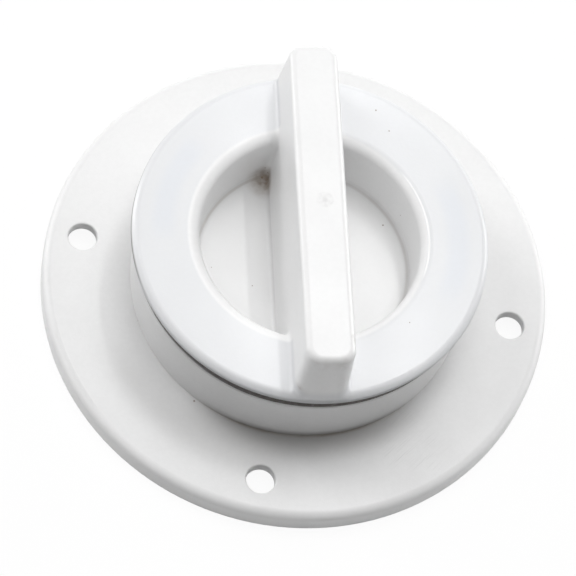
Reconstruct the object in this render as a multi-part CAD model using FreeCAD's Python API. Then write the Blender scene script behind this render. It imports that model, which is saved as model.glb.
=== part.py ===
import FreeCAD, Part
import math
import os

# A round scupper fitting for a deck: a flanged socket that is screwed to the
# deck, and a dished plug with a grip bar that screws down into the socket onto
# a flat seal. Millimetres and degrees. The origin is the middle of the face
# that rests on the deck, +Z points out of the deck, and two of the screw holes
# lie along X. The plug is modelled screwed home.

# Flange of the socket
flange_dia = 90.0
flange_height = 4.5
flange_web = 2.0
flange_lip = 2.0
flange_edge_radius = 1.5
underside_radius = 0.8

# Countersink-free holes for the deck screws
screw_count = 4
screw_hole_dia = 5.1
screw_edge_distance = 6.4
screw_hole_rounding = 0.3

# Neck that carries the inner thread
bore_dia = 50.6
neck_height = 13.7
neck_wall = 4.9
neck_flare = 0.6
neck_edge_radius = 1.0
mouth_chamfer = 0.8

# Right-hand thread between socket and plug
thread_pitch = 4.0
thread_depth = 1.3
thread_flank_angle = 22.0
thread_radial_clearance = 0.4
thread_flank_clearance = 0.25
plug_thread_turns = 1.75
thread_end_land = 0.3
rib_sink = 0.4

# Flat seal between the neck and the cap of the plug
seal_thickness = 2.7
seal_inner_clearance = 0.3
seal_overhang = 0.1
seal_clearance = 0.05

# Cap and skirt of the plug
cap_overhang = 0.85
cap_rim_height = 2.2
cap_side_draft = 4.0
cap_rim_radius = 1.3
cap_lower_radius = 0.6
skirt_length = 13.6
skirt_chamfer = 0.8

# Recess in the cap
recess_floor_thickness = 2.8
recess_floor_wall = 4.5
recess_draft = 0.5
recess_floor_radius = 1.2
recess_mouth_radius = 2.0

# Grip bar across the recess
bar_height = 13.1
bar_width = 8.4
bar_draft = 2.0
bar_turn = 12.2
bar_top_radius = 1.2
bar_corner_radius = 2.8
bar_foot_radius = 0.8

# Slot that hollows the bar from below
bar_wall = 2.5
bar_crown = 4.0
slot_end_wall = 1.9
slot_rounding = 0.8

# Heights, from the deck upwards
web_underside = flange_height - flange_web
neck_top = flange_height + neck_height
seal_bottom = neck_top + seal_clearance
seal_top = seal_bottom + seal_thickness
cap_underside = seal_top + seal_clearance
rim_top = cap_underside + cap_rim_height
bar_top = rim_top + bar_height
skirt_bottom = cap_underside - skirt_length
recess_floor = skirt_bottom + recess_floor_thickness

# Radii
flange_r = flange_dia / 2
lip_inner_r = flange_r - flange_lip
screw_circle_r = flange_r - screw_edge_distance
bore_r = bore_dia / 2
neck_top_r = bore_r + neck_wall
neck_base_r = neck_top_r - neck_flare
socket_crest_r = bore_r - thread_depth
plug_crest_r = bore_r - thread_radial_clearance
skirt_r = plug_crest_r - thread_depth
cap_r = neck_top_r + cap_overhang
recess_floor_r = skirt_r - recess_floor_wall
recess_mouth_r = recess_floor_r + (rim_top - recess_floor) * math.tan(math.radians(recess_draft))

# Widths of the thread ribs, along the axis. Both ribs share one section, and
# half a pitch between them leaves the flank clearance on either side.
flank_slope = math.tan(math.radians(thread_flank_angle))
engaged_depth = thread_depth - thread_radial_clearance
rib_crest_width = thread_pitch / 2 - thread_flank_clearance - engaged_depth * flank_slope
rib_base_width = rib_crest_width + 2 * thread_depth * flank_slope

plug_thread_start = skirt_bottom + skirt_chamfer + thread_end_land + rib_base_width / 2
socket_thread_start = mouth_chamfer + thread_end_land + rib_base_width / 2
socket_thread_end = neck_top - mouth_chamfer - thread_end_land - rib_base_width / 2
socket_thread_turns = (socket_thread_end - socket_thread_start) / thread_pitch

TOLERANCE = 1e-4
AXIS_FOOT = FreeCAD.Vector(0, 0, 0)
UP = FreeCAD.Vector(0, 0, 1)


def turned(*corners):
    """Return the solid that a half section with these (radius, height) corners sweeps about Z."""
    points = [FreeCAD.Vector(radius, 0, height) for radius, height in corners]
    points.append(points[0])
    return Part.Face(Part.makePolygon(points)).revolve(AXIS_FOOT, UP, 360)


def points_along(edge):
    """Return five points from one end of an edge to the other."""
    first, last = edge.ParameterRange
    return [edge.valueAt(first + (last - first) * step / 4) for step in range(5)]


def ring_edges(shape, radius, height):
    """Return the full circular edges of one radius at one height."""
    found = []
    for edge in shape.Edges:
        level = all(abs(point.z - height) < TOLERANCE for point in points_along(edge))
        if level and edge.isClosed() and abs(edge.Length - 2 * math.pi * radius) < TOLERANCE:
            found.append(edge)
    return found


def thread_rib(root_radius, crest_radius, start, turns, phase):
    """Return a right-hand helical rib that is sunk a little into the wall that carries it."""
    inward = 1 if crest_radius < root_radius else -1
    sunk_radius = root_radius + inward * rib_sink
    crest_half = rib_crest_width / 2
    sunk_half = crest_half + (thread_depth + rib_sink) * flank_slope
    section = Part.makePolygon([
        FreeCAD.Vector(sunk_radius, 0, start - sunk_half),
        FreeCAD.Vector(crest_radius, 0, start - crest_half),
        FreeCAD.Vector(crest_radius, 0, start + crest_half),
        FreeCAD.Vector(sunk_radius, 0, start + sunk_half),
        FreeCAD.Vector(sunk_radius, 0, start - sunk_half),
    ])
    spine = Part.makeHelix(thread_pitch, turns * thread_pitch, crest_radius)
    spine.translate(UP * start)
    rib = Part.Wire(spine).makePipeShell([section], True, True)
    rib.rotate(AXIS_FOOT, UP, phase)
    return rib


def make_socket():
    """Flange, neck and threaded bore in one moulding."""
    body = turned(
        (bore_r, 0),
        (neck_base_r, 0),
        (neck_base_r, web_underside),
        (lip_inner_r, web_underside),
        (lip_inner_r, 0),
        (flange_r, 0),
        (flange_r, flange_height),
        (neck_base_r, flange_height),
        (neck_top_r, neck_top),
        (bore_r, neck_top),
    )
    body = body.makeFillet(flange_edge_radius, ring_edges(body, flange_r, flange_height))
    body = body.makeFillet(neck_edge_radius, ring_edges(body, neck_top_r, neck_top))
    hollow_corners = ring_edges(body, neck_base_r, web_underside)
    hollow_corners += ring_edges(body, lip_inner_r, web_underside)
    body = body.makeFillet(underside_radius, hollow_corners)
    bore_ends = ring_edges(body, bore_r, 0) + ring_edges(body, bore_r, neck_top)
    body = body.makeChamfer(mouth_chamfer, bore_ends)

    hole_r = screw_hole_dia / 2
    for number in range(screw_count):
        hole = Part.makeCylinder(hole_r, flange_height, FreeCAD.Vector(screw_circle_r, 0, 0), UP)
        hole.rotate(AXIS_FOOT, UP, number * 360 / screw_count)
        body = body.cut(hole)
    body = body.makeFillet(screw_hole_rounding, ring_edges(body, hole_r, flange_height))

    # The socket's rib runs midway between the turns of the plug's rib.
    phase = 360 * ((socket_thread_start - plug_thread_start) / thread_pitch + 0.5)
    rib = thread_rib(bore_r, socket_crest_r, socket_thread_start, socket_thread_turns, phase)
    return body.fuse(rib)


def cap_side_r(height):
    """Radius of the drafted outside of the cap, which the bar ends share."""
    return cap_r - (height - cap_underside) * math.tan(math.radians(cap_side_draft))


def bar_half_width(height):
    """Half the width of the drafted bar."""
    return bar_width / 2 + (bar_top - height) * math.tan(math.radians(bar_draft))


def make_bar_body():
    """Block between the two drafted sides of the bar, longer and taller than the cap."""
    low = recess_floor - bar_foot_radius
    high = bar_top + bar_top_radius
    ends = FreeCAD.Vector(0, 2 * cap_r, 0)
    corners = [
        FreeCAD.Vector(-bar_half_width(low), 0, low),
        FreeCAD.Vector(bar_half_width(low), 0, low),
        FreeCAD.Vector(bar_half_width(high), 0, high),
        FreeCAD.Vector(-bar_half_width(high), 0, high),
        FreeCAD.Vector(-bar_half_width(low), 0, low),
    ]
    block = Part.Face(Part.makePolygon(corners)).extrude(ends * 2)
    block.translate(-ends)
    return block


def on_bar_side(point):
    """Tell whether a point lies on either drafted side of the bar."""
    return abs(abs(point.x) - bar_half_width(point.z)) < TOLERANCE


def on_cap_side(point):
    """Tell whether a point lies on the drafted outside of the cap."""
    return abs(math.hypot(point.x, point.y) - cap_side_r(point.z)) < 10 * TOLERANCE


def blend_bar_foot(shape):
    """Blend the bar into the rim, over its rounded mouth and into the recess."""
    edges = []
    for edge in shape.Edges:
        points = points_along(edge)
        on_foot = all(on_bar_side(point) for point in points) and points[2].z < bar_top - TOLERANCE
        if on_foot and not all(on_cap_side(point) for point in points):
            edges.append(edge)
    return shape.makeFillet(bar_foot_radius, edges)


def round_rim_and_corners(shape):
    """Round the rim, and with a wider radius the upright corners of the bar's ends."""
    edges = []
    for number, edge in enumerate(shape.Edges, 1):
        points = points_along(edge)
        low = min(point.z for point in points)
        high = max(point.z for point in points)
        if low > bar_top - TOLERANCE or low < rim_top - TOLERANCE:
            continue
        if all(on_cap_side(point) for point in points):
            radius = bar_corner_radius if high > bar_top - TOLERANCE else cap_rim_radius
            edges.append((number, radius, radius))
    document = FreeCAD.newDocument("plug")
    base = document.addObject("Part::Feature", "base")
    base.Shape = shape
    rounding = document.addObject("Part::Fillet", "rounding")
    rounding.Base = base
    rounding.Edges = edges
    document.recompute()
    return rounding.Shape


def round_bar_top(shape):
    """Round the edge all round the top of the bar."""
    edges = []
    for edge in shape.Edges:
        if all(abs(point.z - bar_top) < TOLERANCE for point in points_along(edge)):
            edges.append(edge)
    return shape.makeFillet(bar_top_radius, edges)


def make_plug():
    """Dished cap with its grip bar, the skirt below it and the outer thread, in one moulding."""
    body = turned(
        (0, skirt_bottom),
        (skirt_r, skirt_bottom),
        (skirt_r, cap_underside),
        (cap_r, cap_underside),
        (cap_side_r(bar_top), bar_top),
        (0, bar_top),
    )
    beyond_r = cap_r + cap_rim_height
    above = bar_top + bar_top_radius
    hollow = turned(
        (0, recess_floor),
        (recess_floor_r, recess_floor),
        (recess_mouth_r, rim_top),
        (beyond_r, rim_top),
        (beyond_r, above),
        (0, above),
    )
    hollow = hollow.makeFillet(recess_mouth_radius, ring_edges(hollow, recess_mouth_r, rim_top))
    hollow = hollow.makeFillet(recess_floor_radius, ring_edges(hollow, recess_floor_r, recess_floor))
    body = body.cut(hollow.cut(make_bar_body()))
    body = blend_bar_foot(body)
    body = round_rim_and_corners(body)
    body = round_bar_top(body)
    body = body.makeFillet(cap_lower_radius, ring_edges(body, cap_r, cap_underside))
    body = body.makeChamfer(skirt_chamfer, ring_edges(body, skirt_r, skirt_bottom))

    slot_width = bar_width - 2 * bar_wall
    slot_length = 2 * (recess_floor_r - slot_end_wall)
    slot_height = bar_top - bar_crown - skirt_bottom
    corner = FreeCAD.Vector(-slot_width / 2, -slot_length / 2, skirt_bottom)
    slot = Part.makeBox(slot_width, slot_length, slot_height, corner)
    closed_end = [edge for edge in slot.Edges if edge.BoundBox.ZMax > skirt_bottom + TOLERANCE]
    slot = slot.makeFillet(slot_rounding, closed_end)
    body = body.cut(slot)
    body.rotate(AXIS_FOOT, UP, bar_turn)

    rib = thread_rib(skirt_r, plug_crest_r, plug_thread_start, plug_thread_turns, 0)
    return body.fuse(rib)


def make_seal():
    """Flat ring of rubber that the cap presses onto the neck."""
    inner_r = skirt_r + seal_inner_clearance
    outer_r = neck_top_r + seal_overhang
    return turned(
        (inner_r, seal_bottom),
        (outer_r, seal_bottom),
        (outer_r, seal_top),
        (inner_r, seal_top),
    )


os.makedirs("parts", exist_ok=True)
make_socket().exportStep("parts/socket.step")
make_seal().exportStep("parts/seal_ring.step")
make_plug().exportStep("parts/plug.step")
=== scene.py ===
import math

import bmesh
import bpy
from bpy.props import FloatProperty, FloatVectorProperty, IntProperty, PointerProperty
from mathutils import Matrix, Vector


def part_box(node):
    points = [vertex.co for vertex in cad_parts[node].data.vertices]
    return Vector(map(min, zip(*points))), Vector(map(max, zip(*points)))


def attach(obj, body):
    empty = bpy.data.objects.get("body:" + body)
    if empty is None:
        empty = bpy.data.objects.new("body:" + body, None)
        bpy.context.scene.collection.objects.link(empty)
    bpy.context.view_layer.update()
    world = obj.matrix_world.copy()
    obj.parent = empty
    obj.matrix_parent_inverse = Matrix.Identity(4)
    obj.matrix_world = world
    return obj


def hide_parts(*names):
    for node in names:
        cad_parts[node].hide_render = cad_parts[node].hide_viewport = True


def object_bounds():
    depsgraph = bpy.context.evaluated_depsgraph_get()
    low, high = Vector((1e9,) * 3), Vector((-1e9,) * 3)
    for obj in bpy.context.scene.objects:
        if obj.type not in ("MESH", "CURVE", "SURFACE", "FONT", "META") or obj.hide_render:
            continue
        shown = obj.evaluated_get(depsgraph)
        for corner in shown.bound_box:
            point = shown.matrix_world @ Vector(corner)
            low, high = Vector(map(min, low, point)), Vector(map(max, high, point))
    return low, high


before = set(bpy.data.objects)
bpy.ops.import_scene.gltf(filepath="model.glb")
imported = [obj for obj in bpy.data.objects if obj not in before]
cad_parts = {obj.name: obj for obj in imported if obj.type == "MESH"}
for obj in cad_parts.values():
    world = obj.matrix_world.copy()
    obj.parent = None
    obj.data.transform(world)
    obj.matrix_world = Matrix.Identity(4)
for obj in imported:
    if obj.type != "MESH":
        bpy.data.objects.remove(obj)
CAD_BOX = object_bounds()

bl_info = {
    "name": "Scupper fitting",
    "version": (1, 0, 0),
    "blender": (4, 5, 0),
    "location": "3D View > Sidebar > Scupper",
    "description": "Finishes a white screw-in deck scupper and sets a plain studio round it",
    "category": "Object",
}

MM = 0.001

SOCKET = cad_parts["socket"]
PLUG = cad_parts["plug"]
SEAL_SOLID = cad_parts["seal_ring"]

# Heights and radii of the shapes that the finishes follow
FLANGE_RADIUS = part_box("socket")[1].x
FLANGE_TOP = 4.5 * MM
NECK_FOOT_RADIUS = 29.6 * MM
SEAL_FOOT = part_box("seal_ring")[0].z
RING_TOP = 23.2 * MM
RING_MIDDLE_RADIUS = 25.6 * MM
RIM_BEND_RADIUS = 29.6 * MM
LIP_RADIUS = 20.5 * MM
RECESS_FLOOR = 10.2 * MM
BAR_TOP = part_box("plug")[1].z

# Radius and height of the line along the rounded corner of the recess floor
RECESS_CORNER = (18.6 * MM, RECESS_FLOOR + 0.4 * MM)

# Where the upright line stands that the ring's tint goes round, a little off the thread's axis
RING_TINT_MIDDLE = (-0.5 * MM, -0.2 * MM)

# Turn of the grip bar from the Y axis, counterclockwise from above, in degrees
BAR_TURN = 12.2


def at(x, y, z):
    """Place on the fitting, given in millimetres."""
    return (x * MM, y * MM, z * MM)


GATE = (0.38 * MM, 0.02 * MM, BAR_TOP)
# Middle of the dirt and painted shade in the recess corner by the bar.
CORNER_DIRT_AND_PAINTED_SHADE = at(-9.0, 15.2, 10.6)
SCUFFED_PLACE = (22.1 * MM, -29.1 * MM, FLANGE_TOP)

# Specks of dirt, each a place on the surface and a radius
SOCKET_SPECKS = (
    (at(-26.11, -13.95, 4.66), 0.12 * MM),
    (at(-13.79, -26.78, 4.50), 0.16 * MM),
)
PLUG_SPECKS = (
    (at(-9.71, 15.75, 10.36), 0.18 * MM),
    (at(-8.89, 16.33, 11.48), 0.14 * MM),
    (at(-9.58, 16.52, 12.69), 0.11 * MM),
    (at(12.92, 11.45, 10.20), 0.14 * MM),
    (at(15.26, 11.54, 14.97), 0.10 * MM),
    (at(-7.85, -5.53, 10.20), 0.10 * MM),
    (at(-15.46, -3.64, 10.20), 0.08 * MM),
    (at(10.13, 23.04, 23.20), 0.12 * MM),
    (at(7.23, 26.58, 23.20), 0.14 * MM),
    (at(19.08, -12.80, 23.20), 0.10 * MM),
)

# Worn and soiled places on the bar, each with a radius, a soft edge and an amount
RUBBED_PLACES = (
    (at(9.45, -24.20, 35.90), 0.1 * MM, 1.1 * MM, 0.55),
    (at(5.00, -29.60, 35.20), 0.4 * MM, 2.2 * MM, 0.10),
    (at(8.50, -28.80, 35.00), 0.4 * MM, 2.2 * MM, 0.14),
    (at(2.45, -29.80, 25.50), 0.2 * MM, 0.9 * MM, 0.45),
)

# Round lamps, each with its azimuth, its elevation and half its width, in degrees, and its brightness
ROUND_LAMPS = (
    ("overhead_lamp", 0, 90, 35, 0.285),
    ("small_overhead_lamp", 0, 90, 10, 0.170),
    ("back_lamp", 84, 65, 18, 0.165),
    ("high_left_lamp", 155, 50, 12, 0.180),
    ("low_left_lamp", 158, 12, 12, 0.315),
    ("low_right_lamp", 35, 12, 12, 0.330),
    ("low_back_lamp", 60, 12, 12, 0.100),
    ("front_lamp", -96, 18, 12, 0.030),
)

# How strongly a speck colours what it lies on
SPECK_STRENGTH = 0.8

SENSOR_WIDTH_MM = 36
FURTHEST_SEEN = 20.0
FLOOR_CORNERS = 96
SEAL_CORNER_STEPS = 5


class ScupperColours(bpy.types.PropertyGroup):
    """Colours of the mouldings, the seal and the dirt on them, and of the painted light and shade on them.
    """

    socket: FloatVectorProperty(
        name="Socket", description="White of the socket's plastic", subtype="COLOR",
        default=(0.80, 0.80, 0.80), min=0, max=1)
    # Painted light: the flange's rounded outer edge is laid brighter than the rest.
    painted_flange_edge_light: FloatVectorProperty(
        name="Flange edge", description="Brighter white of the flange's outer edge", subtype="COLOR",
        default=(0.90, 0.90, 0.90), min=0, max=1)
    # Walls and sides of the plug keep this brighter white while its level faces take a duller one: painted
    # light.
    plug: FloatVectorProperty(
        name="Plug", description="White of the plug's plastic where nothing rubs it", subtype="COLOR",
        default=(0.92, 0.92, 0.92), min=0, max=1)
    # Painted highlight: a bright line laid round the right of the recess mouth.
    painted_lip_highlight: FloatVectorProperty(
        name="Recess lip", description="Bright line round the edge of the recess", subtype="COLOR",
        default=(1.0, 1.0, 1.0), min=0, max=1)
    # Painted shade: the duller white over the plug's ring, bar top and recess floor, so that its walls and
    # sides show lighter.
    painted_shade_level_white: FloatVectorProperty(
        name="Handled", description="Duller white of the plug's rubbed faces", subtype="COLOR",
        default=(0.80, 0.80, 0.80), min=0, max=1)
    # Bluish tint of the ring; its two stronger patches at the sides are painted reflections.
    cool_tint_and_painted_reflection: FloatVectorProperty(
        name="Cool", description="Bluish white that the ring and its faint patches lean to", subtype="COLOR",
        default=(0.66, 0.71, 0.80), min=0, max=1)
    rubber: FloatVectorProperty(
        name="Seal", description="Near black of the rubber seal", subtype="COLOR",
        default=(0.030, 0.024, 0.020), min=0, max=1)
    # Brown dirt of the specks and the rubbed places, and also of painted shade in the neck's crease and in
    # the recess corners.
    grime_and_painted_shade: FloatVectorProperty(
        name="Grime", description="Brown dirt that settles in corners", subtype="COLOR",
        default=(0.21, 0.15, 0.10), min=0, max=1)
    # Dark grey of the gate mark, and of the painted shade in front of the neck, under the left of the rim
    # and along the base of the recess wall.
    dust_and_painted_shade: FloatVectorProperty(
        name="Dust", description="Dark dust that gathers in front of the neck", subtype="COLOR",
        default=(0.19, 0.18, 0.17), min=0, max=1)
    # Grey of scratches, mottle and the seal's lighter edge, and also of the painted shade on the left of the
    # recess floor.
    scuff_and_painted_shade: FloatVectorProperty(
        name="Scuff", description="Grey of rubbed plastic and of faint mottle", subtype="COLOR",
        default=(0.66, 0.66, 0.66), min=0, max=1)
    floor: FloatVectorProperty(
        name="Floor", description="Pale studio floor", subtype="COLOR",
        default=(0.78, 0.78, 0.78), min=0, max=1)


class ScupperSurface(bpy.types.PropertyGroup):
    """Sizes of the fine surface detail."""

    grain: FloatProperty(
        name="Mould grain", description="Width of one bump of the moulded grain",
        default=0.35 * MM, min=0.05 * MM, unit="LENGTH")
    grain_depth: FloatProperty(
        name="Grain depth", description="Depth of the moulded grain",
        default=0.012 * MM, min=0, unit="LENGTH")
    waviness: FloatProperty(
        name="Waviness", description="Width of the shallow waves that shrinkage leaves",
        default=9 * MM, min=1 * MM, unit="LENGTH")
    wave_depth: FloatProperty(
        name="Wave depth", description="Depth of the shallow waves",
        default=0.05 * MM, min=0, unit="LENGTH")
    scuff_width: FloatProperty(
        name="Scuff width", description="Width of one fine scratch",
        default=0.22 * MM, min=0.05 * MM, unit="LENGTH")
    scuff_length: FloatProperty(
        name="Scuff length", description="Length of one fine scratch",
        default=5 * MM, min=0.5 * MM, unit="LENGTH")
    gate_radius: FloatProperty(
        name="Gate mark", description="Radius of the mark that the moulding gate left on the bar",
        default=1.3 * MM, min=0.2 * MM, unit="LENGTH")
    gate_depth: FloatProperty(
        name="Gate depth", description="Depth of the gate mark",
        default=0.05 * MM, min=0, unit="LENGTH")
    seal_rounding: FloatProperty(
        name="Seal rounding", description="Radius of the seal's edges",
        default=0.35 * MM, min=0.05 * MM, unit="LENGTH")
    seal_steps: IntProperty(
        name="Seal steps", description="Steps round the seal", default=192, min=24)


class ScupperStudio(bpy.types.PropertyGroup):
    """Floor, lamps and camera of the studio."""

    floor_radius: FloatProperty(
        name="Floor radius", description="Radius of the floor disc",
        default=3.0, min=0.2, unit="LENGTH")
    floor_gap: FloatProperty(
        name="Floor gap", description="Height of the fitting above the floor disc",
        default=0.1 * MM, min=0, unit="LENGTH")
    floor_glow: FloatProperty(
        name="Floor glow", description="Brightness of the floor where the camera sees it",
        default=1.03, min=0)
    shadow_share: FloatProperty(
        name="Shadow", description="How strongly the floor shows the fitting's shadow",
        default=0.10, min=0, max=1, subtype="FACTOR")
    sky: FloatProperty(
        name="Sky", description="Brightness of the even light from all round",
        default=0.0, min=0)
    lamp_distance: FloatProperty(
        name="Lamp distance", description="Distance from the fitting to each lamp",
        default=1.0, min=0.2, unit="LENGTH")
    strip_azimuth: FloatProperty(
        name="Strip azimuth", description="Direction of the strip lamp, from +X towards +Y",
        default=math.radians(64), subtype="ANGLE")
    strip_elevation: FloatProperty(
        name="Strip elevation", description="Height of the strip lamp",
        default=math.radians(71.5), subtype="ANGLE")
    strip_width: FloatProperty(
        name="Strip width", description="Half the strip lamp's width, as the fitting sees it",
        default=math.radians(0.6), subtype="ANGLE")
    strip_length: FloatProperty(
        name="Strip length", description="Half the strip lamp's length, as the fitting sees it",
        default=math.radians(10), subtype="ANGLE")
    strip_brightness: FloatProperty(
        name="Strip brightness", description="Brightness of a white face turned to the strip lamp",
        default=0.092, min=0)
    camera_place: FloatVectorProperty(
        name="Camera place", description="Where the camera stands", subtype="TRANSLATION",
        default=(-0.028583884, -0.251992845, 0.502973380))
    camera_azimuth: FloatProperty(
        name="Camera azimuth", description="Turn of the view from +Y towards +X",
        default=math.radians(6.2135), subtype="ANGLE")
    camera_elevation: FloatProperty(
        name="Camera elevation", description="How steeply the camera looks down",
        default=math.radians(63.2018), subtype="ANGLE")
    camera_roll: FloatProperty(
        name="Camera roll", description="Turn of the camera about its own axis",
        default=math.radians(17.2968), subtype="ANGLE")
    camera_lens: FloatProperty(
        name="Lens", description="Focal length in millimetres", default=197.704, min=1)


def opaque(colour):
    """Colour property with full alpha."""
    return (*colour, 1.0)


def add_node(tree, kind, inputs=(), **settings):
    """Add a node; inputs pairs each socket's name or number with a value or an output."""
    added = tree.nodes.new(kind)
    for name, value in settings.items():
        setattr(added, name, value)
    for socket, value in inputs:
        if isinstance(value, bpy.types.NodeSocket):
            tree.links.new(value, added.inputs[socket])
        else:
            added.inputs[socket].default_value = value
    return added


class Finish:
    """One material: a colour with other colours laid over it, roughness and relief."""

    def __init__(self, name, colour):
        self.material = bpy.data.materials.new(name)
        self.material.use_nodes = True
        self.tree = self.material.node_tree
        self.colour = opaque(colour)
        self.place = self.node("ShaderNodeTexCoord").outputs["Object"]
        self.height = self.node("ShaderNodeSeparateXYZ", ((0, self.place),)).outputs[2]
        self.from_axis = self.from_upright(0, 0)

    def node(self, kind, inputs=(), **settings):
        """Add a node to the material."""
        return add_node(self.tree, kind, inputs, **settings)

    def math(self, operation, first, second=0.0):
        """Result of one Math node on two values."""
        return self.node("ShaderNodeMath", ((0, first), (1, second)), operation=operation).outputs[0]

    def product(self, first, *others):
        """Values multiplied together, which for masks is where they overlap."""
        for other in others:
            first = self.math("MULTIPLY", first, other)
        return first

    def largest(self, first, *others):
        """Largest of several values, which for masks is where any of them lies."""
        for other in others:
            first = self.math("MAXIMUM", first, other)
        return first

    def off(self, value, middle):
        """How far a value lies from a middle, either way."""
        return self.math("ABSOLUTE", self.math("SUBTRACT", value, middle))

    def step(self, value, low, high, start=0.0, end=1.0):
        """Smooth step from start to end as the value goes from low to high."""
        inputs = ((0, value), (1, low), (2, high), (3, start), (4, end))
        return self.node("ShaderNodeMapRange", inputs, interpolation_type="SMOOTHSTEP").outputs[0]

    def noise(self, size, detail, place=None):
        """Soft random pattern from 0 to 1 whose blots are about one size across."""
        inputs = (("Vector", place or self.place), ("Scale", 1 / size), ("Detail", detail))
        return self.node("ShaderNodeTexNoise", inputs).outputs["Fac"]

    def blots(self, size, detail, within, amounts):
        """Random blots that go between two amounts as the noise goes between two levels."""
        return self.step(self.noise(size, detail), *within, *amounts)

    def from_upright(self, x, y):
        """Distance from the upright line at x and y."""
        inputs = ((0, self.place), (1, (1, 1, 0)), (2, (-x, -y, 0)))
        flat = self.node("ShaderNodeVectorMath", inputs, operation="MULTIPLY_ADD").outputs[0]
        return self.node("ShaderNodeVectorMath", ((0, flat),), operation="LENGTH").outputs["Value"]

    def from_corner(self, radius, height, steepness=1.0):
        """Distance from a line round the axis: outwards, plus upwards times the steepness."""
        out = self.off(self.from_axis, radius)
        rise = self.off(self.height, height)
        return self.math("ADD", out, self.product(rise, steepness))

    def toward(self, azimuth, low, high):
        """Mask of the side that faces an azimuth; low and high are cosines of the turn from it."""
        turn = math.radians(azimuth)
        inputs = ((0, self.place), (1, (math.cos(turn), math.sin(turn), 0)))
        side = self.node("ShaderNodeVectorMath", inputs, operation="DOT_PRODUCT").outputs["Value"]
        return self.step(self.math("DIVIDE", side, self.from_axis), low, high)

    def near(self, point, radius, soft):
        """Mask that is 1 round a point and falls to 0 over a soft edge."""
        inputs = ((0, self.place), (1, point))
        distance = self.node("ShaderNodeVectorMath", inputs, operation="DISTANCE").outputs["Value"]
        return self.step(distance, radius, radius + soft, 1.0, 0.0)

    def specks(self, places):
        """Mask of small round specks at the given places."""
        return self.largest(*(self.near(point, radius * 0.5, radius) for point, radius in places))

    def scattered(self, spacing, radius, share):
        """Mask of tiny specks spread at random, in a share of the cells of one spacing."""
        cells = self.node("ShaderNodeTexVoronoi", (("Vector", self.place), ("Scale", 1 / spacing)))
        reach = radius / spacing
        dot = self.step(cells.outputs["Distance"], reach * 0.5, reach, 1.0, 0.0)
        pick = self.node("ShaderNodeSeparateColor", ((0, cells.outputs["Color"]),)).outputs[0]
        return self.product(dot, self.step(pick, 1 - share, 1 - share + 0.02))

    def scratches(self, surface, turn, patch):
        """Mask of fine soft scratches that run one way, in loose patches."""
        along, across = 1 / surface.scuff_length, 1 / surface.scuff_width
        turned = self.node(
            "ShaderNodeMapping",
            (("Vector", self.place), ("Rotation", (0, 0, math.radians(turn)))),
            vector_type="TEXTURE")
        drawn = self.node(
            "ShaderNodeMapping",
            (("Vector", turned.outputs[0]), ("Scale", (along, across, along))))
        lines = self.step(self.noise(1.0, 1.0, drawn.outputs[0]), 0.50, 0.85)
        return self.product(lines, self.step(self.noise(patch, 1.0), 0.45, 0.75))

    def cover(self, mask, colour):
        """Lay a colour over what is there, where a mask says."""
        inputs = ((0, mask), (6, self.colour), (7, opaque(colour)))
        self.colour = self.node("ShaderNodeMix", inputs, data_type="RGBA").outputs[2]

    def bump(self, height, depth, below=None):
        """Surface relief of one depth, laid over the relief below it."""
        inputs = [("Height", height), ("Distance", depth)]
        if below is not None:
            inputs.append(("Normal", below))
        return self.node("ShaderNodeBump", inputs).outputs[0]

    def leaned(self, mask, lean):
        """Surface direction, leaned upwards where a mask says, as on a softly rounded edge."""
        facing = self.node("ShaderNodeNewGeometry").outputs["Normal"]
        rise = self.node("ShaderNodeCombineXYZ", ((2, self.product(mask, lean)),)).outputs[0]
        summed = self.node("ShaderNodeVectorMath", ((0, facing), (1, rise)), operation="ADD").outputs[0]
        return self.node("ShaderNodeVectorMath", ((0, summed),), operation="NORMALIZE").outputs[0]

    def done(self, roughness, relief):
        """Join the colour, the roughness and the relief to the shader; the material is ready."""
        shader = self.tree.nodes["Principled BSDF"]
        self.tree.links.new(self.colour, shader.inputs["Base Color"])
        self.tree.links.new(roughness, shader.inputs["Roughness"])
        self.tree.links.new(relief, shader.inputs["Normal"])
        return self.material


def moulded_relief(finish, surface, below=None):
    """Grain and shallow waves of a moulded face."""
    waves = finish.bump(finish.noise(surface.waviness, 1.0), surface.wave_depth, below)
    return finish.bump(finish.noise(surface.grain, 3.0), surface.grain_depth, waves)


def speckle(finish, colours, specks, spacing, radius, share):
    """Specks of dirt at their places, and tiny ones scattered between them."""
    dots = finish.largest(finish.specks(specks), finish.scattered(spacing, radius, share))
    finish.cover(finish.product(dots, SPECK_STRENGTH), colours.grime_and_painted_shade)


def socket_finish(colours, surface):
    """Satin white plastic, scuffed on the flange, with painted shade and brown dirt where the neck meets it.
    """
    finish = Finish("socket_white_plastic", colours.socket)
    clouds = finish.blots(12 * MM, 3.0, within=(0.35, 0.75), amounts=(0.0, 0.05))
    finish.cover(clouds, colours.scuff_and_painted_shade)
    mottle = finish.blots(0.8 * MM, 2.0, within=(0.38, 0.62), amounts=(0.0, 0.08))
    finish.cover(mottle, colours.scuff_and_painted_shade)
    # Painted light: brighter white over the flange's rounded outer edge.
    edge = finish.step(finish.from_axis, FLANGE_RADIUS - 1.5 * MM, FLANGE_RADIUS - 0.6 * MM, 0.0, 0.6)
    finish.cover(edge, colours.painted_flange_edge_light)
    rubbed = finish.product(finish.near(SCUFFED_PLACE, 3 * MM, 10 * MM), 1.6)
    scratches = finish.scratches(surface, turn=54, patch=9 * MM)
    scuffs = finish.product(scratches, finish.math("ADD", rubbed, 0.12))
    finish.cover(scuffs, colours.scuff_and_painted_shade)
    shade_and_soil_neck_foot(finish, colours)
    speckle(finish, colours, SOCKET_SPECKS, spacing=6 * MM, radius=0.12 * MM, share=0.04)
    gloss = finish.blots(5 * MM, 3.0, within=(0.3, 0.7), amounts=(0.40, 0.48))
    roughness = finish.math("ADD", gloss, finish.product(scuffs, 0.3))
    return finish.done(roughness, moulded_relief(finish, surface))


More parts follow.
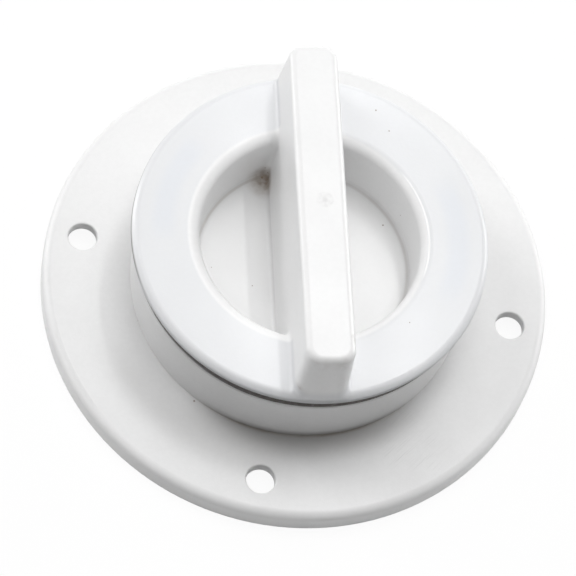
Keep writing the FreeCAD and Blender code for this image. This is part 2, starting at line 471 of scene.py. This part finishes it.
def shade_and_soil_neck_foot(finish, colours):
    """Painted shade in front of the neck, and a line of brown dirt and painted shade in the crease where it
    meets the flange.
    """
    front = finish.toward(-78, 0.72, 0.985)
    # Painted shade on the flange in front of the neck.
    beside_neck = finish.from_corner(NECK_FOOT_RADIUS, FLANGE_TOP, steepness=2.5)
    shade = finish.step(beside_neck, 0.0, 6.2 * MM, 0.56, 0.0)
    finish.cover(finish.product(shade, front), colours.dust_and_painted_shade)

    from_foot = finish.from_corner(NECK_FOOT_RADIUS, FLANGE_TOP)
    # Painted shade on the flange to the front left, a few millimetres out from the neck.
    left_front_painted_shade = finish.product(
        finish.step(finish.off(from_foot, 6.0 * MM), 0.0, 4.8 * MM, 0.14, 0.0),
        finish.toward(-115, 0.80, 0.95),
        finish.step(finish.height, FLANGE_TOP + 0.5 * MM, FLANGE_TOP + 1.5 * MM, 1.0, 0.0))
    finish.cover(left_front_painted_shade, colours.dust_and_painted_shade)

    # Brown line in the crease round the neck, darker at the front: part dirt, part painted shade.
    crease_grime_and_painted_shade = finish.product(
        finish.blots(4 * MM, 3.0, within=(0.3, 0.75), amounts=(0.2, 0.5)),
        finish.math("ADD", front, 0.08),
        finish.step(from_foot, 0.0, 0.6 * MM, 1.0, 0.0))
    finish.cover(crease_grime_and_painted_shade, colours.grime_and_painted_shade)


def plug_finish(colours, surface):
    """Glossier white plastic, with its level faces painted duller as light and shade, the gate mark, brown
    dirt and painted shade.
    """
    finish = Finish("plug_white_plastic", colours.plug)
    tone_plug(finish, colours)
    edge_ring(finish, colours)
    shade_and_soil_recess(finish, colours)
    mark_gate(finish, colours, surface)
    speckle(finish, colours, PLUG_SPECKS, spacing=7 * MM, radius=0.1 * MM, share=0.03)
    for point, radius, soft, amount in RUBBED_PLACES:
        worn = finish.blots(1.2 * MM, 2.0, within=(0.35, 0.65), amounts=(0.2 * amount, amount))
        finish.cover(finish.product(finish.near(point, radius, soft), worn), colours.grime_and_painted_shade)
    scratches = finish.scratches(surface, turn=20, patch=13 * MM)
    gloss = finish.blots(7 * MM, 3.0, within=(0.3, 0.7), amounts=(0.29, 0.36))
    roughness = finish.math("ADD", gloss, finish.product(scratches, 0.08))
    return finish.done(roughness, plug_relief(finish, surface))


def tone_plug(finish, colours):
    """Level faces painted duller as light and shade, painted shade on the left of the recess floor, a bluish
    ring with painted reflections, and the faint mottle of the whole moulding.
    """
    # Painted light and shade: the level faces take a duller white than the walls and sides.
    on_ring = finish.product(
        finish.step(finish.from_upright(*RING_TINT_MIDDLE), LIP_RADIUS, LIP_RADIUS + 0.7 * MM),
        finish.step(finish.height, RING_TOP - 3.2 * MM, RING_TOP - 2.4 * MM),
        finish.step(finish.height, RING_TOP + 0.4 * MM, RING_TOP + 3.0 * MM, 1.0, 0.0))
    on_top = finish.step(finish.height, BAR_TOP - 1.2 * MM, BAR_TOP - 0.2 * MM, 0.0, 0.5)
    on_floor = finish.step(finish.height, RECESS_FLOOR + 0.2 * MM, RECESS_FLOOR + 1.4 * MM, 1.0, 0.0)
    finish.cover(finish.largest(on_ring, on_top, on_floor), colours.painted_shade_level_white)
    clouds = finish.blots(10 * MM, 2.0, within=(0.35, 0.75), amounts=(0.0, 0.06))
    finish.cover(clouds, colours.scuff_and_painted_shade)
    # Painted shade over the left half of the recess floor.
    finish.cover(finish.product(on_floor, finish.toward(170, 0.0, 0.6), 0.40), colours.scuff_and_painted_shade)

    # Bluish tint over the ring, stronger in two patches at the sides, which are painted reflections.
    band = finish.step(finish.off(finish.from_axis, RING_MIDDLE_RADIUS), 0.6 * MM, 3.0 * MM, 1.0, 0.0)
    sides = finish.largest(finish.toward(10, 0.86, 0.97), finish.toward(172, 0.90, 0.97))
    cool_tint_and_painted_reflection = finish.math("ADD", finish.product(band, sides, 0.22), 0.16)
    finish.cover(finish.product(cool_tint_and_painted_reflection, on_ring), colours.cool_tint_and_painted_reflection)
    mottle = finish.blots(0.8 * MM, 2.0, within=(0.35, 0.65), amounts=(0.0, 0.05))
    finish.cover(mottle, colours.scuff_and_painted_shade)


def edge_ring(finish, colours):
    """Painted highlight on the right of the recess mouth, and painted shade under the left of the rim."""
    # Painted highlight along the rounded edge on the right of the recess.
    painted_lip_highlight = finish.product(
        finish.step(finish.off(finish.from_axis, LIP_RADIUS), 0.05 * MM, 0.22 * MM, 1.0, 0.0),
        finish.step(finish.height, RING_TOP - 0.5 * MM, RING_TOP - 0.2 * MM),
        finish.toward(19, 0.84, 0.92))
    finish.cover(painted_lip_highlight, colours.painted_lip_highlight)
    # Painted shade under the rim on the left side.
    under_rim_painted_shade = finish.product(
        finish.step(finish.height, RING_TOP - 1.1 * MM, RING_TOP - 0.6 * MM, 0.75, 0.0),
        finish.step(finish.from_axis, RIM_BEND_RADIUS, RIM_BEND_RADIUS + 0.4 * MM),
        finish.toward(180, 0.80, 0.98))
    finish.cover(under_rim_painted_shade, colours.dust_and_painted_shade)


def shade_and_soil_recess(finish, colours):
    """Line of brown dirt and painted shade round the recess floor, painted shadow at its right, and dirt
    with painted shade in the corner by the bar.
    """
    # Brown line in the corner of the recess floor: dirt on the far left, painted shade towards the right.
    line = finish.step(finish.from_corner(*RECESS_CORNER), 0.0, 0.6 * MM, 0.35, 0.0)
    right = finish.product(finish.toward(35, 0.45, 0.80), 0.6)
    sides = finish.largest(finish.toward(125, 0.1, 0.98), right)
    finish.cover(finish.product(line, sides), colours.grime_and_painted_shade)
    # Painted shadow of the recess wall on the right of the floor, along the wall's base.
    painted_wall_base_shadow = finish.step(finish.from_corner(*RECESS_CORNER, steepness=2.5), 0.0, 3.4 * MM, 0.16, 0.0)
    finish.cover(finish.product(painted_wall_base_shadow, finish.toward(20, 0.45, 0.85)), colours.dust_and_painted_shade)
    # Dark brown dirt in the far corner by the bar, partly painted corner shade.
    corner = finish.near(CORNER_DIRT_AND_PAINTED_SHADE, 0.2 * MM, 4.0 * MM)
    blots = finish.blots(1.0 * MM, 2.0, within=(0.3, 0.7), amounts=(0.55, 0.88))
    finish.cover(finish.product(corner, blots), colours.grime_and_painted_shade)


def mark_gate(finish, colours, surface):
    """Faint blotted disc with a darker middle, where the moulding gate was cut off."""
    blots = finish.blots(0.7 * MM, 2.0, within=(0.35, 0.65), amounts=(0.02, 0.09))
    disc = finish.near(GATE, surface.gate_radius, 0.3 * MM)
    finish.cover(finish.product(disc, blots), colours.dust_and_painted_shade)
    middle = finish.near(GATE, surface.gate_radius * 0.1, surface.gate_radius * 0.45)
    finish.cover(finish.product(middle, 0.16), colours.dust_and_painted_shade)


def plug_relief(finish, surface):
    """Moulded relief with a softened rim and the sunk gate mark."""
    rim_side = finish.product(
        finish.step(finish.from_axis, RIM_BEND_RADIUS + 0.3 * MM, RIM_BEND_RADIUS + 0.9 * MM),
        finish.step(finish.height, RING_TOP - 1.0 * MM, RING_TOP - 0.2 * MM, 1.0, 0.0))
    relief = moulded_relief(finish, surface, finish.leaned(rim_side, lean=0.7))
    gate = finish.near(GATE, surface.gate_radius * 0.75, surface.gate_radius * 0.5)
    return finish.bump(finish.math("SUBTRACT", 1.0, gate), surface.gate_depth, relief)


def rubber_finish(colours):
    """Dull dark rubber with faint dusty blots, laid lighter grey on the left along its lower edge."""
    finish = Finish("seal_dark_rubber", colours.rubber)
    dust_and_painted_shade = finish.blots(1.2 * MM, 3.0, within=(0.45, 0.75), amounts=(0.0, 0.10))
    # The lower edge on the left is laid lighter grey, so that the dark seal line shows thinner there.
    low_edge = finish.step(finish.height, SEAL_FOOT + 0.5 * MM, SEAL_FOOT + 0.8 * MM, 0.85, 0.05)
    lighter_left_low_edge = finish.product(finish.toward(200, 0.60, 0.92), low_edge)
    finish.cover(finish.largest(dust_and_painted_shade, lighter_left_low_edge), colours.scuff_and_painted_shade)
    roughness = finish.blots(0.8 * MM, 2.0, within=(0.3, 0.7), amounts=(0.55, 0.70))
    return finish.done(roughness, finish.bump(finish.noise(0.3 * MM, 2.0), 0.01 * MM))


def link_piece(name, shape):
    """Turn a bmesh into a smooth object of the scene."""
    bmesh.ops.recalc_face_normals(shape, faces=shape.faces)
    mesh = bpy.data.meshes.new(name)
    shape.to_mesh(mesh)
    shape.free()
    mesh.shade_smooth()
    piece = bpy.data.objects.new(name, mesh)
    bpy.context.scene.collection.objects.link(piece)
    return piece


class SCUPPER_OT_finish_socket(bpy.types.Operator):
    """Give the socket its satin white plastic"""

    bl_idname = "scupper.finish_socket"
    bl_label = "Finish the socket"

    def execute(self, context):
        scene = context.scene
        SOCKET.data.materials[0] = socket_finish(scene.scupper_colours, scene.scupper_surface)
        return {"FINISHED"}


class SCUPPER_OT_finish_plug(bpy.types.Operator):
    """Give the plug its glossier white plastic"""

    bl_idname = "scupper.finish_plug"
    bl_label = "Finish the plug"

    def execute(self, context):
        scene = context.scene
        PLUG.data.materials[0] = plug_finish(scene.scupper_colours, scene.scupper_surface)
        return {"FINISHED"}


class SCUPPER_OT_make_seal(bpy.types.Operator):
    """Make the round-edged rubber seal between the neck and the cap"""

    bl_idname = "scupper.make_seal"
    bl_label = "Make the seal"

    def execute(self, context):
        scene = context.scene
        seal = link_piece("rubber_seal", seal_shape(scene.scupper_surface))
        seal.data.materials.append(rubber_finish(scene.scupper_colours))
        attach(seal, "seal")
        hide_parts("seal_ring")
        return {"FINISHED"}


def seal_shape(surface):
    """Rectangular section with rounded corners, as large as the seal's solid, spun round the axis."""
    low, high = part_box("seal_ring")
    inner = min(vertex.co.xy.length for vertex in SEAL_SOLID.data.vertices)
    width, height = high.x - inner, high.z - low.z
    middle = Vector((inner + width / 2, 0, low.z + height / 2))
    upright = Matrix.Rotation(math.radians(90), 4, "X")
    to_section = Matrix.Translation(middle) @ Matrix.Diagonal((width, 1, height, 1)) @ upright
    shape = bmesh.new()
    bmesh.ops.create_grid(shape, x_segments=1, y_segments=1, size=0.5)
    bmesh.ops.transform(shape, matrix=to_section, verts=shape.verts)
    bmesh.ops.bevel(
        shape, geom=shape.verts[:], offset=surface.seal_rounding, affect="VERTICES",
        segments=SEAL_CORNER_STEPS, profile=0.5, material=-1)
    bmesh.ops.spin(
        shape, geom=shape.verts[:] + shape.edges[:] + shape.faces[:], cent=(0, 0, 0), axis=(0, 0, 1),
        angle=math.tau, steps=surface.seal_steps, use_merge=True, use_duplicate=False)
    # The section that was spun stays inside the ring. Only it has more than four corners
    section = [face for face in shape.faces if len(face.verts) > 4]
    bmesh.ops.delete(shape, geom=section, context="FACES_ONLY")
    return shape


class SCUPPER_OT_set_studio(bpy.types.Operator):
    """Lay the floor, hang the lamps and place the camera"""

    bl_idname = "scupper.set_studio"
    bl_label = "Set the studio"

    def execute(self, context):
        studio = context.scene.scupper_studio
        lay_floor(studio, context.scene.scupper_colours)
        light_the_sky(studio)
        hang_lamps(studio)
        place_camera(studio)
        context.scene.view_settings.view_transform = "Standard"
        return {"FINISHED"}


def seen_directly(tree):
    """Output that is 1 for what the camera sees, also in gloss and through clear things."""
    path = add_node(tree, "ShaderNodeLightPath")
    largest = path.outputs["Is Camera Ray"]
    for name in ("Is Glossy Ray", "Is Transmission Ray"):
        inputs = ((0, largest), (1, path.outputs[name]))
        largest = add_node(tree, "ShaderNodeMath", inputs, operation="MAXIMUM").outputs[0]
    return largest


def mixed_shader(tree, amount, first, second):
    """First shader moved towards the second by an amount."""
    inputs = ((0, amount), (1, first.outputs[0]), (2, second.outputs[0]))
    return add_node(tree, "ShaderNodeMixShader", inputs).outputs[0]


def lay_floor(studio, colours):
    """Pale disc that shows white and keeps a soft shadow."""
    shape = bmesh.new()
    bmesh.ops.create_circle(shape, cap_ends=True, segments=FLOOR_CORNERS, radius=studio.floor_radius)
    bmesh.ops.translate(shape, verts=shape.verts, vec=(0, 0, -studio.floor_gap))
    floor = link_piece("studio_floor", shape)
    material = bpy.data.materials.new("studio_floor")
    material.use_nodes = True
    tree = material.node_tree
    tree.nodes.remove(tree.nodes["Principled BSDF"])
    paint = add_node(tree, "ShaderNodeBsdfDiffuse", (("Color", opaque(colours.floor)),))
    glow = add_node(tree, "ShaderNodeEmission", (("Strength", studio.floor_glow),))
    inputs = ((0, seen_directly(tree)), (1, 1 - studio.shadow_share))
    glow_share = add_node(tree, "ShaderNodeMath", inputs, operation="MULTIPLY").outputs[0]
    mix = mixed_shader(tree, glow_share, paint, glow)
    tree.links.new(mix, tree.nodes["Material Output"].inputs["Surface"])
    floor.data.materials.append(material)


def light_the_sky(studio):
    """Even light from all round, seen as plain white."""
    world = bpy.data.worlds.new("studio_sky")
    world.use_nodes = True
    tree = world.node_tree
    white = opaque((1, 1, 1))
    even = tree.nodes["Background"]
    even.inputs["Color"].default_value = white
    even.inputs["Strength"].default_value = studio.sky
    seen = add_node(tree, "ShaderNodeBackground", (("Color", white), ("Strength", 1.0)))
    mix = mixed_shader(tree, seen_directly(tree), even, seen)
    tree.links.new(mix, tree.nodes["World Output"].inputs["Surface"])
    bpy.context.scene.world = world


def hang_lamps(studio):
    """Round lamps overhead, behind, at the sides and in front, and a strip that lies along the bar."""
    distance = studio.lamp_distance
    for name, azimuth, elevation, spread, brightness in ROUND_LAMPS:
        light = round_light(name, math.radians(spread), brightness, distance)
        hang(light, math.radians(azimuth), math.radians(elevation), distance)
    hang(strip_light(studio), studio.strip_azimuth, studio.strip_elevation, distance)


def round_light(name, spread, brightness, distance):
    """Round soft lamp. A white face turned to it shows at its brightness."""
    radius = distance * math.tan(spread)
    light = bpy.data.lights.new(name, "AREA")
    light.shape = "DISK"
    light.size = 2 * radius
    light.energy = brightness * math.pi ** 2 * (radius ** 2 + distance ** 2)
    return light


def strip_light(studio):
    """Long narrow lamp that lies along the grip bar and draws the bar's shadow sharply."""
    distance = studio.lamp_distance
    light = bpy.data.lights.new("strip_lamp", "AREA")
    light.shape = "RECTANGLE"
    light.size = 2 * distance * math.tan(studio.strip_width)
    light.size_y = 2 * distance * math.tan(studio.strip_length)
    light.energy = studio.strip_brightness * math.pi ** 2 * distance ** 2
    return light


def hang(light, azimuth, elevation, distance):
    """Hang a lamp in one direction, facing the fitting, with its length along the grip bar."""
    level = math.cos(elevation)
    away = Vector((level * math.cos(azimuth), level * math.sin(azimuth), math.sin(elevation)))
    bar = math.radians(90 + BAR_TURN)
    across = Vector((math.cos(bar), math.sin(bar), 0)).cross(away).normalized()
    facing = Matrix((across, away.cross(across), away)).transposed().to_4x4()
    lamp = bpy.data.objects.new(light.name, light)
    bpy.context.scene.collection.objects.link(lamp)
    middle = Vector((0, 0, CAD_BOX[1].z / 2))
    lamp.matrix_world = Matrix.Translation(middle + away * distance) @ facing


def place_camera(studio):
    """Camera where the photographer stood."""
    azimuth, elevation, roll = studio.camera_azimuth, studio.camera_elevation, studio.camera_roll
    ahead = Vector((
        math.sin(azimuth) * math.cos(elevation),
        math.cos(azimuth) * math.cos(elevation),
        -math.sin(elevation)))
    level = Vector((math.cos(azimuth), -math.sin(azimuth), 0))
    upright = level.cross(ahead)
    right = level * math.cos(roll) + upright * math.sin(roll)
    facing = Matrix((right, right.cross(ahead), -ahead)).transposed().to_4x4()
    data = bpy.data.cameras.new("photo_camera")
    data.lens = studio.camera_lens
    data.sensor_width = SENSOR_WIDTH_MM
    data.clip_end = FURTHEST_SEEN
    camera = bpy.data.objects.new("photo_camera", data)
    bpy.context.scene.collection.objects.link(camera)
    camera.matrix_world = Matrix.Translation(studio.camera_place) @ facing
    bpy.context.scene.camera = camera


OPERATORS = (
    SCUPPER_OT_finish_socket,
    SCUPPER_OT_finish_plug,
    SCUPPER_OT_make_seal,
    SCUPPER_OT_set_studio,
)


class SCUPPER_PT_panel(bpy.types.Panel):
    """Steps that finish the fitting and set its studio"""

    bl_label = "Scupper fitting"
    bl_space_type = "VIEW_3D"
    bl_region_type = "UI"
    bl_category = "Scupper"

    def draw(self, context):
        scene = context.scene
        for step in OPERATORS:
            self.layout.operator(step.bl_idname)
        for group in (scene.scupper_colours, scene.scupper_surface, scene.scupper_studio):
            for name in group.__annotations__:
                self.layout.prop(group, name)


CLASSES = (ScupperColours, ScupperSurface, ScupperStudio, *OPERATORS, SCUPPER_PT_panel)


def register():
    for item in CLASSES:
        bpy.utils.register_class(item)
    bpy.types.Scene.scupper_colours = PointerProperty(type=ScupperColours)
    bpy.types.Scene.scupper_surface = PointerProperty(type=ScupperSurface)
    bpy.types.Scene.scupper_studio = PointerProperty(type=ScupperStudio)


def unregister():
    del bpy.types.Scene.scupper_studio
    del bpy.types.Scene.scupper_surface
    del bpy.types.Scene.scupper_colours
    for item in reversed(CLASSES):
        bpy.utils.unregister_class(item)


def main():
    register()
    bpy.ops.scupper.finish_socket()
    bpy.ops.scupper.finish_plug()
    bpy.ops.scupper.make_seal()
    bpy.ops.scupper.set_studio()


if __name__ == "__main__":
    main()
